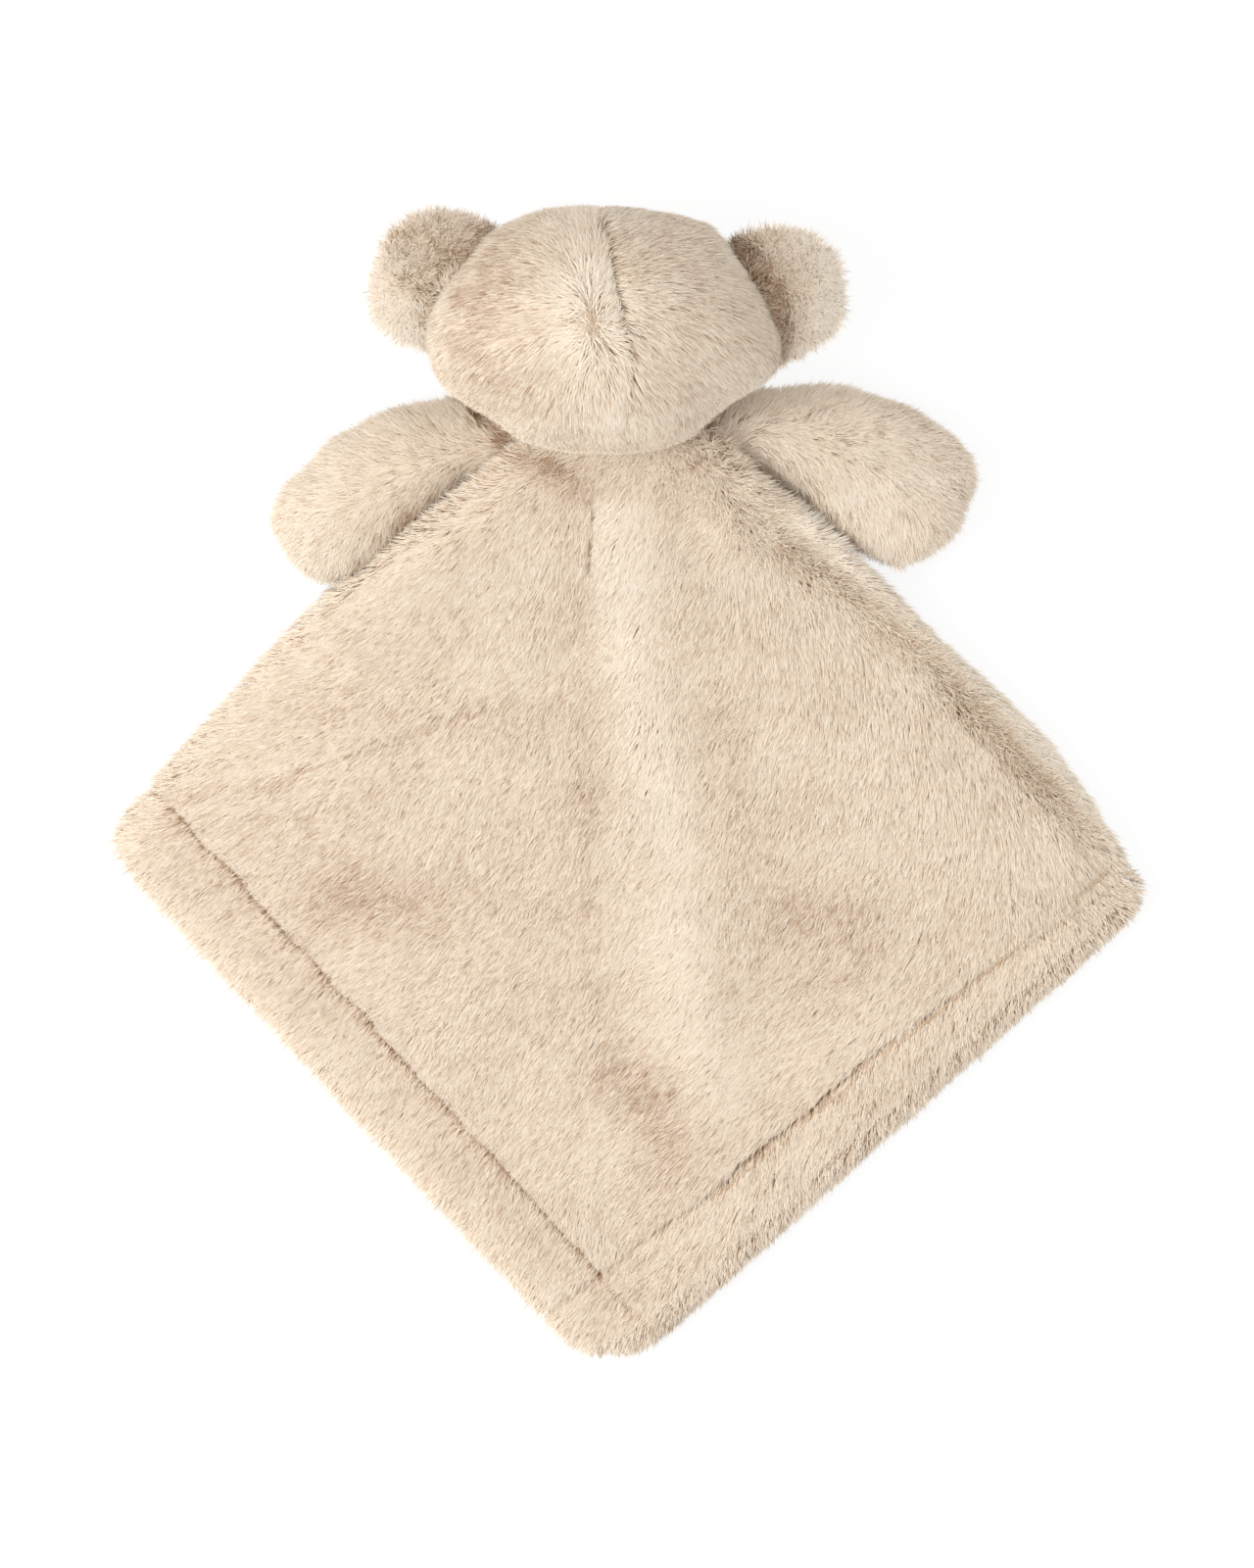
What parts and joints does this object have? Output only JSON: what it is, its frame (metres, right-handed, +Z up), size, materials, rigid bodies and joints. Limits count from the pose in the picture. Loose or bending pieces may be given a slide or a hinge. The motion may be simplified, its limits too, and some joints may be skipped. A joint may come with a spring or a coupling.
{
  "type": "teddy bear",
  "caption": "Baby's comforter: a stuffed teddy bear's head and arms, sewn to the corner of a square fur blanket, lying face down.",
  "frame": {"origin": "on the table, under the middle of the whole toy", "axes": "+Y from the blanket's far corner to the crown of the head, +Z up from the table to the back of the head, +X to the right in the picture"},
  "size_m": [0.2906, 0.3264, 0.084],
  "materials": {
    "fur": "soft beige faux fur, pile about 8 mm",
    "hem_fur": "soft beige faux fur, a shade paler where it is brushed outwards",
    "filling": "white polyester fibre filling",
    "thread": "matt sewing thread",
    "dark_thread": "dark brown embroidery thread, satin stitch"
  },
  "bodies": {
    "blanket": {"blanket_back": "fur", "blanket_front": "fur", "hem_band_left": "hem_fur", "hem_band_right": "hem_fur", "hem_stitch_left": "thread", "hem_stitch_right": "thread"},
    "head": {"head_back_left": "fur", "head_back_right": "fur", "head_gusset": "fur", "face_left": "fur", "face_right": "fur", "head_filling": "filling", "muzzle": "fur", "nose": "dark_thread", "mouth_stitch": "dark_thread", "eye_left": "dark_thread", "eye_right": "dark_thread"},
    "ear_left": {"ear_left_back": "fur", "ear_left_front": "fur"},
    "ear_right": {"ear_right_back": "fur", "ear_right_front": "fur"},
    "arm_left": {"arm_left_back": "fur", "arm_left_front": "fur", "arm_left_filling": "filling"},
    "arm_right": {"arm_right_back": "fur", "arm_right_front": "fur", "arm_right_filling": "filling"}
  },
  "joints": [
    {"name": "head_nod", "type": "hinge", "parent": "blanket", "child": "head", "pos_m": [-0.00763, 0.09619, 0.0233], "axis": [1, 0, 0], "range_deg": [-15, 45]},
    {"name": "ear_left_fold", "type": "hinge", "parent": "head", "child": "ear_left", "pos_m": [-0.05196, 0.14167, 0.046], "axis": [0.4384, 0.8988, 0], "range_deg": [-25, 25], "stiffness_Nm_per_rad": 0.006},
    {"name": "ear_right_fold", "type": "hinge", "parent": "head", "child": "ear_right", "pos_m": [0.03831, 0.1383, 0.046], "axis": [0.309, -0.9511, 0], "range_deg": [-25, 25], "stiffness_Nm_per_rad": 0.006},
    {"name": "arm_left_swing", "type": "hinge", "parent": "blanket", "child": "arm_left", "pos_m": [-0.03193, 0.09519, 0.0116], "axis": [0, 0, -1], "range_deg": [-4, 25]},
    {"name": "arm_right_swing", "type": "hinge", "parent": "blanket", "child": "arm_right", "pos_m": [0.02407, 0.09519, 0.0116], "axis": [0, 0, 1], "range_deg": [-4, 25]}
  ]
}
